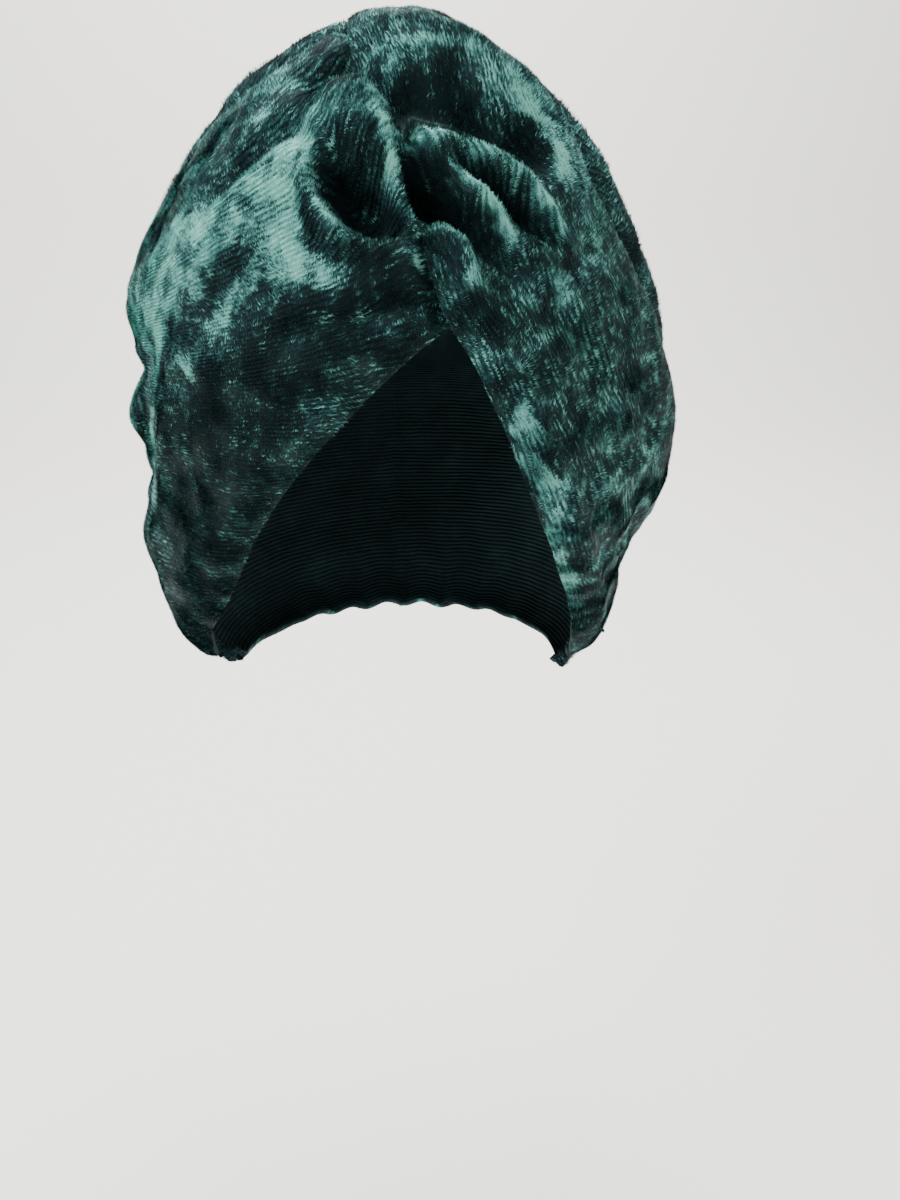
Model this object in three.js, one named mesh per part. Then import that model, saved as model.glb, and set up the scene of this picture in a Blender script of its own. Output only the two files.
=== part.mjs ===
// A twist-front turban headwrap in crushed velvet, in the form it takes when worn.
// Millimetres, +Z up. The face opening looks along -Y and +X is the wearer's left.
// The origin is the inside top of the crown, where the head carries it.

import * as THREE from 'three';

// Cloth
const wall = 2.6;          // a double layer of velvet knit
const layGap = 0.8;        // air between two layers that lie on each other
const tuckSink = 2.6;      // more air towards the end of a hidden layer
const backSink = 3;        // and of the back piece, which doesn't follow their folds closely
const crownSink = 3;       // and of its corner where all three meet at the crown
const edgeGap = 0.6;       // each panel's share of the slit between their edges
const turnOver = 3.2;      // tuck below which the two panels lie side by side and change order
const easeIn = 7;          // width over which a layer sinks before it goes under another
const easeEnd = 3;         // it is fully down this far outside the edge that covers it
const seamTuck = 11;       // the back piece runs on under the front panels
const crownTop = 120;      // outside of the crown above the widest level
const arcRadius = 105;     // mean radius that turns an angle into a width along the cloth

// Facets along and across each piece, crowded towards the twist (or, below zero, away from it)
const rightGrid = { columns: 30, rows: 26, crowding: 0.45 };
const leftGrid = { columns: 36, rows: 20, crowding: -0.55 };
const backGrid = { columns: 44, rows: 22, crowding: 0, tuckRows: 2 };

// Turned edges: how far the cloth dips inwards, and over what width
const frontTurn = { dip: 5, width: 13 };
const hemTurn = { dip: 7, width: 16 };
const seamTurn = { dip: 1.6, width: 6 };
const twistTurn = { dip: 4, width: 7 };
const lobeTurn = { dip: 1.5, width: 6 };

// Level sections of the form: radius from the centre in each direction, by elevation in degrees
const formSections = [
  { elevation: -70, front: 110, back: 150, right: 138, left: 140 },
  { elevation: -50, front: 98, back: 128, right: 129, left: 119 },
  { elevation: -30, front: 99, back: 124, right: 112, left: 95 },
  { elevation: -10, front: 99, back: 123, right: 95, left: 92 },
  { elevation: 10, front: 100, back: 123, right: 94, left: 90 },
  { elevation: 30, front: 109, back: 123, right: 101, left: 90 },
  { elevation: 50, front: 118, back: 122, right: 104, left: 96 },
  { elevation: 70, front: 121, back: 120, right: 114, left: 106 },
  { elevation: 90, front: crownTop, back: crownTop, right: crownTop, left: crownTop },
];

// Lines on the form, as azimuth from the front towards the wearer's left, and elevation
const rightFrontEdge = [
  [-74.5, -48.5], [-64, -41], [-52.8, -33.7], [-44.6, -26.4], [-37.4, -16.7],
  [-30.5, -7.6], [-22, 2.5], [-13.5, 11.5], [-5.5, 18.5], [2, 23.5], [8.5, 27.5],
];
const leftFrontEdge = [
  [68, -57], [54, -49], [38.5, -35.5], [27.7, -23], [19.9, -9.8],
  [15.1, 0], [10.5, 10], [6.5, 17.5], [2.5, 23.5], [0.5, 27.5], [-2, 33.5],
];
const rightSeam = [
  [-28, 73.5], [-40, 67], [-56, 62], [-77, 51], [-86, 31],
  [-89, 10], [-89, -8], [-87, -26], [-83, -45],
];
const leftSeam = [
  [-28, 73.5], [-12, 80], [26, 77], [34, 68.5], [33, 61.5], [35, 54.5], [37.5, 48],
  [42, 41.5], [52.5, 31.5], [62, 20.5], [75, 4], [80, -14], [79, -32], [71.5, -49],
];
const tipBelowRight = [[-81, -54], [-82.2, -50]];
const tipBelowLeft = [[71.5, -54.5], [71, -61.5]];
const hemLine = [
  [-72, -51.5], [-81, -54], [-95, -56.5], [-112, -58], [-145, -59.5], [180, -60],
  [145, -60.5], [112, -61], [90, -61.5], [71, -61.5], [60, -61],
];

// Where the two front panels cross, from the peak of the face opening up to the crown.
// Above zero the right panel runs on under the left by the tuck, below zero the left under it.
const crossing = [
  { azimuth: 2, elevation: 23.5, tuck: 13 },
  { azimuth: 0, elevation: 28, tuck: 7 },
  { azimuth: -2, elevation: 33.5, tuck: 0 },
  { azimuth: -4.5, elevation: 39, tuck: -8 },
  { azimuth: -7, elevation: 44.5, tuck: -11 },
  { azimuth: -8.5, elevation: 50, tuck: -8 },
  { azimuth: -13, elevation: 54.5, tuck: 0 },
  { azimuth: -18.5, elevation: 62, tuck: 9 },
  { azimuth: -28, elevation: 73.5, tuck: 12 },
];

// Folds: stations along each one with its height above the form there, and its half widths
const rightFolds = [
  { name: 'curl', widths: [15, 12], sharp: 0, stations: [
    [-25.5, 53.5, 0], [-20.5, 54, 6], [-14.5, 52.5, 9], [-10, 49, 9], [-8, 45.5, 5], [-7.5, 43, 0] ] },
  { name: 'curl lip', widths: [6, 8], sharp: 0.3, stations: [
    [-10, 50.5, 0], [-9.5, 46.5, 5], [-8.5, 42.5, 7], [-6.5, 38.5, 6], [-4.5, 35.5, 4], [-2.5, 33.5, 0] ] },
  { name: 'pocket', widths: [15, 13], sharp: 0, stations: [
    [-19.5, 46.5, 0], [-16, 44.5, -9], [-13, 41.5, -15], [-10, 39, -15], [-6.5, 36, -9], [-3.5, 34, 0] ] },
  { name: 'pocket rim', widths: [10, 7], sharp: 0.3, stations: [
    [-25, 46, 0], [-22.5, 43.5, 3], [-21.5, 40, 5], [-18, 36.5, 6], [-13, 34, 6],
    [-7.5, 33, 5], [-2.5, 32.5, 0] ] },
  { name: 'crown valley', widths: [7, 7], sharp: 0, stations: [
    [-34, 57.5, 0], [-27.5, 58, -4], [-21.5, 59, -5], [-16, 57, -3], [-13, 55.5, 0] ] },
  { name: 'side valley', widths: [9, 9], sharp: 0, stations: [
    [-21.5, 52, 0], [-28, 49.5, -4], [-34, 46.5, -5], [-40, 42.5, -4], [-47, 37, 0] ] },
  { name: 'shoulder', widths: [16, 14], sharp: 0, stations: [
    [-23.5, 48.5, 0], [-28.5, 44.5, 3], [-35, 39.5, 4], [-43.5, 32.5, 3], [-53.5, 24, 0] ] },
  { name: 'brow ridge', widths: [7, 8], sharp: 0.2, stations: [
    [2.5, 24, 2], [-6, 22, 4], [-12.5, 20.5, 3.5], [-21.5, 17, 2], [-31.5, 12, 0] ] },
  { name: 'brow valley', widths: [6, 6], sharp: 0, stations: [
    [1.5, 27, 0], [-5, 26, -3], [-13.5, 25, -3.5], [-23, 22, -2], [-33, 18, 0] ] },
  { name: 'temple ridge', widths: [9, 10], sharp: 0, stations: [
    [-15, 13.5, 0], [-23, 7, 3], [-32, 0, 3], [-42, -8, 0] ] },
  { name: 'upper side roll', widths: [14, 12], sharp: 0, stations: [
    [-51.5, 31.5, 0], [-66, 26, 2], [-84, 22, 2.5], [-98, 22, 0] ] },
  { name: 'side groove', widths: [8, 7], sharp: 0.3, stations: [
    [-53, 20, 0], [-65.5, 13, -2.5], [-78, 11, -3.5], [-96, 11, -2] ] },
  { name: 'lower side roll', widths: [13, 13], sharp: 0, stations: [
    [-66, 4, 0], [-76, 2, 3.5], [-86, 1, 5], [-98, 1, 3] ] },
  { name: 'ear groove', widths: [7, 7], sharp: 0.3, stations: [
    [-64, -9, 0], [-72, -10, -2.5], [-80, -10.5, -4], [-94, -11, -2] ] },
  { name: 'flap crease', widths: [9, 4], sharp: 0.4, stations: [
    [-45, 21, 0], [-51.5, 13.5, -2], [-59, 4, -4], [-66, -5, -4], [-74, -14, -2], [-80, -20, 0] ] },
  { name: 'ear roll', widths: [11, 12], sharp: 0, stations: [
    [-58, -17, 0], [-70, -21, 1.5], [-84, -24, 2], [-96, -25, 1] ] },
];
const leftFolds = [
  { name: 'top roll', widths: [15, 18], sharp: 0, stations: [
    [-27, 69, 2], [-18.5, 66, 4.5], [-5, 62.5, 6], [8, 59.5, 7], [19, 55, 7], [28.5, 49, 5], [36, 42, 0] ] },
  { name: 'top groove', widths: [8, 7], sharp: 0.2, stations: [
    [-10.5, 54, 0], [-4, 55, -4], [5.5, 53, -5], [14.5, 50, -4], [23, 46, -2], [29, 41.5, 0] ] },
  { name: 'first ridge', widths: [8, 7], sharp: 0.6, stations: [
    [-7.5, 51, 0], [-5.5, 50, 4], [-2.5, 48.5, 7], [1, 46.5, 8], [4, 43.5, 8], [7.5, 41.5, 7],
    [10, 39, 5], [12.5, 36, 0] ] },
  { name: 'second ridge', widths: [8, 7], sharp: 0.6, stations: [
    [-4, 50, 0], [0, 48, 4], [5.5, 47, 6], [11, 45.5, 7], [16.5, 44, 7], [21.5, 42, 5],
    [27, 39, 3], [31.5, 34.5, 0] ] },
  { name: 'third ridge', widths: [6, 7], sharp: 0.4, stations: [
    [-5, 38, 0], [-1.5, 38, 5], [2, 37.5, 6], [4, 35.5, 6], [5.5, 33.5, 4], [6, 30, 0] ] },
  { name: 'first valley', widths: [9, 10], sharp: 0, stations: [
    [-8, 51.5, 0], [-6.5, 48, -8], [-3.5, 44, -12], [0, 40.5, -12], [4.5, 38, -8], [9.5, 35, -4],
    [13.5, 31, 0] ] },
  { name: 'second valley', widths: [6, 7], sharp: 0, stations: [
    [1, 46.5, 0], [5.5, 45, -5], [10.5, 43.5, -8], [16, 41, -7], [22, 37, -3], [26, 33.5, 0] ] },
  { name: 'edge roll', widths: [8, 12], sharp: 0, stations: [
    [0.5, 33.5, 0], [3.5, 28, 3], [7.5, 21.5, 3.5], [12.5, 13, 3], [19, 1, 3], [26, -11, 3], [36, -25, 3],
    [52, -40, 2], [66, -50, 0] ] },
  { name: 'cheek dent', widths: [12, 12], sharp: 0, stations: [
    [16.5, 29, 0], [22.5, 23.5, -3], [29, 16, -3], [33.5, 6, 0] ] },
  { name: 'side swell', widths: [24, 20], sharp: 0, stations: [
    [36.5, 31, 0], [50, 18, 1.5], [59.5, 2, 3], [62, -14, 2.5], [62, -30, 0] ] },
  { name: 'ear crease', widths: [7, 9], sharp: 0.2, stations: [
    [44, -8, 0], [54, -20, -3], [64, -31, -4], [74, -40, -2] ] },
];
const backFolds = [
  { name: 'left shoulder', widths: [15, 18], sharp: 0, stations: [
    [40, 72, 0], [50, 62, 2], [54, 52, 3], [58, 42, 2.5], [66, 31, 2], [76, 20, 2], [88, 8, 0] ] },
  { name: 'right shoulder', widths: [14, 16], sharp: 0, stations: [
    [-60, 68, 0], [-80, 60, 2], [-96, 46, 3], [-104, 28, 3], [-106, 10, 0] ] },
  { name: 'right side roll', widths: [14, 14], sharp: 0, stations: [
    [-90, 3, 4], [-102, 2, 5], [-116, 0, 4], [-134, -3, 0] ] },
  { name: 'left side roll', widths: [16, 14], sharp: 0, stations: [
    [76, -2, 4], [92, -4, 6], [108, -6, 4], [128, -8, 0] ] },
  { name: 'centre seam', widths: [4, 4], sharp: 0.7, stations: [
    [180, 76, 0], [180, 60, -1.8], [180, 30, -2], [180, 0, -2], [180, -30, -2], [180, -52, -1.5] ] },
];
const napeGathers = { count: 8, height: 2, from: 118, to: 242, reach: 50 };

const degrees = Math.PI / 180;
const { clamp, lerp, smoothstep, euclideanModulo } = THREE.MathUtils;
const share = (x) => smoothstep(x, 0, 1);

function direction(azimuth, elevation) {
  const level = Math.cos(elevation * degrees);
  return new THREE.Vector3(
    Math.sin(azimuth * degrees) * level,
    -Math.cos(azimuth * degrees) * level,
    Math.sin(elevation * degrees),
  );
}

// A line of directions with its length so far at each point
function measured(points, carried = points.map(() => 0)) {
  const lengths = [0];
  for (let i = 1; i < points.length; i += 1) {
    lengths.push(lengths[i - 1] + points[i].distanceTo(points[i - 1]) * arcRadius);
  }
  return { points, carried, lengths, total: lengths[lengths.length - 1] };
}

// A smooth line on the unit sphere through stations, with a value carried along it
function sphereLine(stations, values = stations.map(() => 0), easing = share, steps = 8) {
  const curve = new THREE.CatmullRomCurve3(
    stations.map(([azimuth, elevation]) => direction(azimuth, elevation)), false, 'catmullrom', 0.5);
  const points = [];
  const carried = [];
  const spans = stations.length - 1;
  for (let i = 0; i <= spans * steps; i += 1) {
    const span = Math.min(Math.floor(i / steps), spans - 1);
    const along = i / steps - span;
    points.push(curve.getPoint(i / (spans * steps)).normalize());
    carried.push(lerp(values[span], values[span + 1], easing(along)));
  }
  return { ...measured(points, carried), steps };
}

// The point of a line at a part of its length, with the value and the heading there
function pointAt(line, place) {
  const target = clamp(place, 0, 1) * line.total;
  let i = 1;
  while (i < line.lengths.length - 1 && line.lengths[i] < target) i += 1;
  const part = (target - line.lengths[i - 1]) / (line.lengths[i] - line.lengths[i - 1]);
  const point = line.points[i - 1].clone().lerp(line.points[i], part).normalize();
  const heading = line.points[i].clone().sub(line.points[i - 1]).normalize();
  const value = lerp(line.carried[i - 1], line.carried[i], part);
  return { point, heading, value };
}

// The place of a station along its line
const placeOf = (line, station) => line.lengths[station * line.steps] / line.total;

// Where a direction lies beside a line: distance (left of its heading is positive) and value
function beside(line, dir) {
  let best = { distance: Infinity, value: 0, along: 0 };
  const chord = new THREE.Vector3();
  const offset = new THREE.Vector3();
  for (let i = 1; i < line.points.length; i += 1) {
    chord.subVectors(line.points[i], line.points[i - 1]);
    offset.subVectors(dir, line.points[i - 1]);
    const part = clamp(offset.dot(chord) / chord.lengthSq(), 0, 1);
    const miss = offset.addScaledVector(chord, -part);
    const distance = miss.length() * arcRadius;
    if (distance < Math.abs(best.distance)) {
      const side = Math.sign(new THREE.Vector3().crossVectors(chord, miss).dot(dir)) || 1;
      best = {
        distance: distance * side,
        value: lerp(line.carried[i - 1], line.carried[i], part),
        along: line.lengths[i - 1] + part * (line.lengths[i] - line.lengths[i - 1]),
      };
    }
  }
  return best;
}

// The plain form without folds
function sectionRadius(elevation, side) {
  const last = formSections.length - 1;
  const step = formSections[1].elevation - formSections[0].elevation;
  const place = Math.min(last, Math.max(0, (elevation - formSections[0].elevation) / step));
  const i = Math.min(Math.floor(place), last - 1);
  const t = place - i;
  const at = (k) => formSections[Math.min(last, Math.max(0, k))][side];
  const [a, b, c, d] = [at(i - 1), at(i), at(i + 1), at(i + 2)];
  return b + 0.5 * t * (c - a + t * (2 * a - 5 * b + 4 * c - d + t * (3 * (b - c) + d - a)));
}

function formRadius(dir) {
  const elevation = Math.asin(dir.z) / degrees;
  const level = Math.hypot(dir.x, dir.y) || 1;
  const depth = sectionRadius(elevation, dir.y < 0 ? 'front' : 'back');
  const width = sectionRadius(elevation, dir.x < 0 ? 'right' : 'left');
  return 1 / Math.hypot(dir.y / level / depth, dir.x / level / width);
}

// Folds that stand on the form
function prepareFolds(rows) {
  return rows.map((row) => ({ ...row, line: sphereLine(row.stations, row.stations.map((s) => s[2])) }));
}

function foldHeight(folds, dir) {
  let height = 0;
  for (const fold of folds) {
    const { distance, value } = beside(fold.line, dir);
    const x = Math.abs(distance) / (distance > 0 ? fold.widths[0] : fold.widths[1]);
    if (x < 1) {
      const soft = (1 - x * x) ** 2;
      const crisp = (1 - Math.sqrt(x * x + 0.01) + 0.1 * x) ** 2;
      height += value * lerp(soft, crisp, fold.sharp);
    }
  }
  return height;
}

// How far a turned edge dips at a distance inside it
const turnDip = (turn, inside) => turn.dip * (1 - clamp(inside / turn.width, 0, 1)) ** 2;

// The same along a whole edge, fading out where it runs into the twist; side is 1 where
// the cloth lies left of the heading
function edgeDip(turn, line, dir, side, fromTwist) {
  const { distance, along } = beside(line, dir);
  return turnDip(turn, side * distance) * share(fromTwist(line, along) / turn.width);
}
const twistAtEnd = (line, along) => line.total - along;
const twistAtStart = (line, along) => along;

const folds = {
  right: prepareFolds(rightFolds),
  left: prepareFolds(leftFolds),
  back: prepareFolds(backFolds),
};
const crossLine = sphereLine(
  crossing.map((row) => [row.azimuth, row.elevation]), crossing.map((row) => row.tuck), (x) => x);
const rightEdgeLine = sphereLine(rightFrontEdge);
const leftEdgeLine = sphereLine(leftFrontEdge);
const rightSeamLine = sphereLine(rightSeam);
const leftSeamLine = sphereLine(leftSeam);
const seamLine = sphereLine([
  ...tipBelowRight, ...rightSeam.slice().reverse(), ...leftSeam.slice(1), ...tipBelowLeft]);
const hem = sphereLine(hemLine);
const lay = wall + layGap;

// Beside the crossing line: distance is positive on the wearer's right, and rightUnder
// goes from 0, where the right panel is on top, to 1, where it lies under the left one
function besideCrossing(dir) {
  const { distance, value, along } = beside(crossLine, dir);
  return { distance, along, rightUnder: share(0.5 + value / turnOver / 2) };
}

// Outer radius of each front panel before one is laid under the other
function rightOwnRadius(dir) {
  const cross = besideCrossing(dir);
  return formRadius(dir) + foldHeight(folds.right, dir)
    - edgeDip(frontTurn, rightEdgeLine, dir, 1, twistAtEnd)
    - edgeDip(seamTurn, rightSeamLine, dir, 1, twistAtStart)
    - turnDip(twistTurn, cross.distance) * (1 - cross.rightUnder);
}

function leftOwnRadius(dir) {
  const cross = besideCrossing(dir);
  const aboveTwist = share((cross.along / crossLine.total - 0.6) / 0.08);
  return formRadius(dir) + foldHeight(folds.left, dir)
    - edgeDip(frontTurn, leftEdgeLine, dir, -1, twistAtEnd)
    - edgeDip(seamTurn, leftSeamLine, dir, -1, twistAtStart)
    - turnDip(lobeTurn, -cross.distance) * cross.rightUnder * aboveTwist;
}

// A layer's own radius, or just under the layer on top of it where it is covered
function laidUnder(own, over, inside, amount) {
  const sink = lay + tuckSink * share((inside + easeEnd) / easeIn);
  return lerp(own, Math.min(own, over - sink), share(1 + (inside + easeEnd) / easeIn) * amount);
}

function rightRadius(dir) {
  const { distance, rightUnder } = besideCrossing(dir);
  return laidUnder(rightOwnRadius(dir), leftOwnRadius(dir), -distance, rightUnder);
}

function leftRadius(dir) {
  const { distance, rightUnder } = besideCrossing(dir);
  return laidUnder(leftOwnRadius(dir), rightOwnRadius(dir), distance, 1 - rightUnder);
}

// Gathers run up from the hem over the nape
function napeHeight(dir, rimDistance) {
  const azimuth = euclideanModulo(Math.atan2(dir.x, -dir.y) / degrees, 360);
  const across = (azimuth - napeGathers.from) / (napeGathers.to - napeGathers.from);
  const fade = (1 - clamp(rimDistance / napeGathers.reach, 0, 1)) ** 2;
  const wave = Math.cos(across * napeGathers.count * 2 * Math.PI);
  return napeGathers.height * wave * fade * Math.sin(clamp(across, 0, 1) * Math.PI);
}

function backRadius(dir) {
  const seam = beside(seamLine, dir);
  const cross = besideCrossing(dir);
  const onRight = share(0.5 + cross.distance / easeIn / 2);
  const overTuck = share((seamTuck + easeIn * 2 + cross.distance) / easeIn) * cross.rightUnder;
  const over = lerp(leftRadius(dir) - overTuck * (lay + tuckSink), rightRadius(dir), onRight);
  const sink = lay + crownSink * (1 - share(Math.abs(cross.distance) / easeIn / 4))
    + backSink * share((easeEnd - seam.distance) / (2 * easeIn));
  const rim = -beside(hem, dir).distance;
  const own = formRadius(dir) + foldHeight(folds.back, dir) + napeHeight(dir, rim)
    - turnDip(hemTurn, rim);
  return lerp(over - sink, own, share((seam.distance - easeEnd) / (1.4 * easeIn)));
}

// A point of a line moved sideways on the form, towards the right of its heading
function shifted({ point, heading }, amount) {
  const sideways = new THREE.Vector3().crossVectors(heading, point).normalize();
  const angle = amount / arcRadius;
  return point.clone().multiplyScalar(Math.cos(angle)).addScaledVector(sideways, Math.sin(angle));
}

// The edge of a front panel along the crossing, with its tuck; side is 1 for the right panel
function crossingEdge(place, side) {
  const spot = pointAt(crossLine, place);
  return shifted(spot, side * (Math.max(0, side * spot.value - turnOver) - edgeGap));
}

// A patch of cloth between four lines, as directions: near and far run the same way
function patchDirection({ near, far, start, end }, u, v) {
  const point = new THREE.Vector3();
  point.addScaledVector(near(u), 1 - v).addScaledVector(far(u), v);
  point.addScaledVector(start(v), 1 - u).addScaledVector(end(v), u);
  point.addScaledVector(near(0), -(1 - u) * (1 - v)).addScaledVector(near(1), -u * (1 - v));
  point.addScaledVector(far(0), -(1 - u) * v).addScaledVector(far(1), -u * v);
  return point.normalize();
}

const between = (from, to) => (place) => from.clone().lerp(to, place).normalize();

// The sphere laid flat round the back of the head, so that a wide piece can be ruled evenly
const backCentre = direction(180, 10);
const backUp = direction(180, 100);

function laidFlat(dir) {
  const bearing = new THREE.Vector2(dir.x, dir.dot(backUp));
  return bearing.setLength(dir.angleTo(backCentre));
}

function fromFlat(place) {
  const apart = place.length();
  const sideways = new THREE.Vector3(place.x, 0, 0).addScaledVector(backUp, place.y).normalize();
  return backCentre.clone().multiplyScalar(Math.cos(apart))
    .addScaledVector(sideways, Math.sin(apart));
}

// Cloth of one thickness: an outer and an inner skin, joined round the rim
function clothGeometry({ columns, rows, crowding }, directionAt, radiusAt) {
  const positions = [];
  const crowded = (t) => t + crowding * Math.sin(Math.PI * t) / Math.PI;
  for (const inset of [0, wall]) {
    for (let j = 0; j <= rows; j += 1) {
      for (let i = 0; i <= columns; i += 1) {
        const dir = directionAt(crowded(i / columns), j / rows);
        const point = dir.clone().multiplyScalar(radiusAt(dir) - inset);
        positions.push(point.x, point.y, point.z);
      }
    }
  }
  const skin = (columns + 1) * (rows + 1);
  const at = (i, j, side) => side * skin + j * (columns + 1) + i;
  const faces = [];
  const quad = (a, b, c, d) => faces.push(a, b, c, a, c, d);
  for (let j = 0; j < rows; j += 1) {
    for (let i = 0; i < columns; i += 1) {
      quad(at(i, j, 0), at(i + 1, j, 0), at(i + 1, j + 1, 0), at(i, j + 1, 0));
      quad(at(i, j, 1), at(i, j + 1, 1), at(i + 1, j + 1, 1), at(i + 1, j, 1));
    }
  }
  for (let i = 0; i < columns; i += 1) {
    quad(at(i, 0, 1), at(i + 1, 0, 1), at(i + 1, 0, 0), at(i, 0, 0));
    quad(at(i, rows, 0), at(i + 1, rows, 0), at(i + 1, rows, 1), at(i, rows, 1));
  }
  for (let j = 0; j < rows; j += 1) {
    quad(at(0, j, 0), at(0, j + 1, 0), at(0, j + 1, 1), at(0, j, 1));
    quad(at(columns, j, 1), at(columns, j + 1, 1), at(columns, j + 1, 0), at(columns, j, 0));
  }
  const geometry = new THREE.BufferGeometry();
  geometry.setAttribute('position', new THREE.Float32BufferAttribute(positions, 3));
  geometry.setIndex(faces);
  geometry.computeVertexNormals();
  return geometry;
}

function clothPiece(name, color, geometry) {
  const velvet = new THREE.MeshStandardMaterial({ color, roughness: 0.85, metalness: 0 });
  const mesh = new THREE.Mesh(geometry, velvet);
  mesh.name = name;
  return mesh;
}

// Wearer's right panel: smooth over the brow, hollowed beside the twist, curled over the other
function rightPanel() {
  const near = (u) => pointAt(rightEdgeLine, u).point;
  const crownCorner = crossingEdge(1, 1);
  const far = (u) => pointAt(rightSeamLine, 1 - u).point
    .lerp(crownCorner, share((u - 0.85) / 0.15)).normalize();
  const end = (v) => crossingEdge(v, 1).lerp(near(1), 1 - share(v / 0.08)).normalize();
  const sides = { near, far, start: between(near(0), far(0)), end };
  return clothGeometry(rightGrid, (u, v) => patchDirection(sides, u, v), rightRadius);
}

// Wearer's left panel: its turned edge frames the face, its gathers run out of the twist
function leftPanel() {
  const switchPlace = placeOf(crossLine, crossing.findIndex((row) => row.tuck === 0));
  const crownPlace = placeOf(leftSeamLine, 2);
  const steps = 48;
  const edge = [];
  for (let i = 0; i < steps; i += 1) edge.push(crossingEdge(lerp(1, switchPlace, i / steps), -1));
  for (let i = 0; i <= steps; i += 1) edge.push(pointAt(leftEdgeLine, 1 - i / steps).point);
  const edgeLine = measured(edge);
  const near = (u) => pointAt(edgeLine, u).point;
  const far = (u) => pointAt(leftSeamLine, lerp(crownPlace, 1, u)).point;
  const start = (v) => pointAt(leftSeamLine, v * crownPlace).point;
  const sides = { near, far, start, end: between(near(1), far(1)) };
  return clothGeometry(leftGrid, (u, v) => patchDirection(sides, u, v), leftRadius);
}

// Back piece: from under the front panels over the crown to the gathered hem at the nape
function backPiece() {
  const tuckedPart = backGrid.tuckRows / backGrid.rows;
  const hemInset = 0.06;
  const hemPoint = (u) => pointAt(hem, hemInset + (1 - 2 * hemInset) * u).point;
  const tuckWidth = (u) => seamTuck * share(0.2 + Math.min(u, 1 - u) / 0.12);
  const shownPoint = (u, part) => fromFlat(
    laidFlat(pointAt(seamLine, u).point).lerp(laidFlat(hemPoint(u)), part));
  const directionAt = (u, v) => (v < tuckedPart
    ? shifted(pointAt(seamLine, u), tuckWidth(u) * (1 - v / tuckedPart))
    : shownPoint(u, ((v - tuckedPart) / (1 - tuckedPart)) ** 1.15));
  return clothGeometry(backGrid, directionAt, backRadius);
}

const turban = new THREE.Group();
turban.add(clothPiece('right_panel', 0x3f7f78, rightPanel()));
turban.add(clothPiece('left_panel', 0x2c5f5a, leftPanel()));
turban.add(clothPiece('crown_cap', 0x24504d, backPiece()));
turban.position.z = -(crownTop - wall);

export default turban;
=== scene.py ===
# A twist-front turban headwrap in crushed velvet, in the form it takes when worn.
import math
import bmesh
import bpy
import numpy as np
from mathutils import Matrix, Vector, noise


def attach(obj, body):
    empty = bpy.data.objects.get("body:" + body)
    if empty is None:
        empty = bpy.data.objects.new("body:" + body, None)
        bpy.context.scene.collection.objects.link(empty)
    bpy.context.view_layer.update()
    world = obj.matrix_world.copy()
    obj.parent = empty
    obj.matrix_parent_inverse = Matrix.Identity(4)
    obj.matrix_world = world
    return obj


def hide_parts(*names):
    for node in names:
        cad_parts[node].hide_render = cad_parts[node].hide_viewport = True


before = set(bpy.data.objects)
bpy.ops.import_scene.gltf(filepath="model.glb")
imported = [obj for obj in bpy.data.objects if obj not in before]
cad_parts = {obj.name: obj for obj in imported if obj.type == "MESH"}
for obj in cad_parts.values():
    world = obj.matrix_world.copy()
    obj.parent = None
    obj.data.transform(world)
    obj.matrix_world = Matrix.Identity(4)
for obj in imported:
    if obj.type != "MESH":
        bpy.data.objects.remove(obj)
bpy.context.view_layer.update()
print("frame loaded")

# The cloth's form. Lengths here are millimetres from the centre at the widest level,
# places are azimuth from the front towards the wearer's left, and elevation.
form = {
    "elevation": [-70, -50, -30, -10, 10, 30, 50, 70, 90],
    "front": [110, 98, 99, 99, 100, 109, 118, 121, 120],
    "back": [150, 128, 124, 123, 123, 123, 122, 120, 120],
    "right": [138, 129, 112, 95, 94, 101, 104, 114, 120],
    "left": [140, 119, 95, 92, 90, 90, 96, 106, 120],
    "arcRadius": 105.0,     # turns an angle into a width along the cloth
    "wall": 2.6,
    "crown": 117.4,         # from the centre up to the inside of the crown, where the origin is
}
lay = {
    "gap": 3.4,             # from one outer face down to the outer face of the layer under it
    "tuckSink": 2.6,        # how much deeper a panel goes further in under the other one
    "backSink": 3.0,        # how much deeper the cap goes further in under the panels
    "crownSink": 3.0,       # how much deeper it lies where both panels cross over it
    "edgeGap": 0.6,         # how far a panel's edge stops short of the crossing
    "turnOver": 3.2,        # the crossing's third number at which one panel is wholly under
    "easeIn": 7.0,          # over which the cap passes from one level to another
    "easeOut": 1.4,         # and over how many times that it rises to its own form
    "easeEnd": 3.0,         # how far outside the seam that rise begins
    "underIn": 4.5,         # how soon a panel comes up from under the other one at the twist
    "underEnd": 1.2,        # how far outside the crossing it is still wholly under
    "seamTuck": 11.0,       # how far the cap's edge runs in under the panels
    "lobeFrom": 0.6,        # where along the crossing, as a share, the top roll's edge begins
    "lobeOver": 0.08,
}
turns = {
    "front": (5.0, 13.0),   # dip and width of each turned edge
    "hem": (7.0, 16.0),
    "seam": (1.6, 6.0),
    "twist": (4.0, 7.0),
    "lobe": (1.5, 6.0),
}
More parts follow.
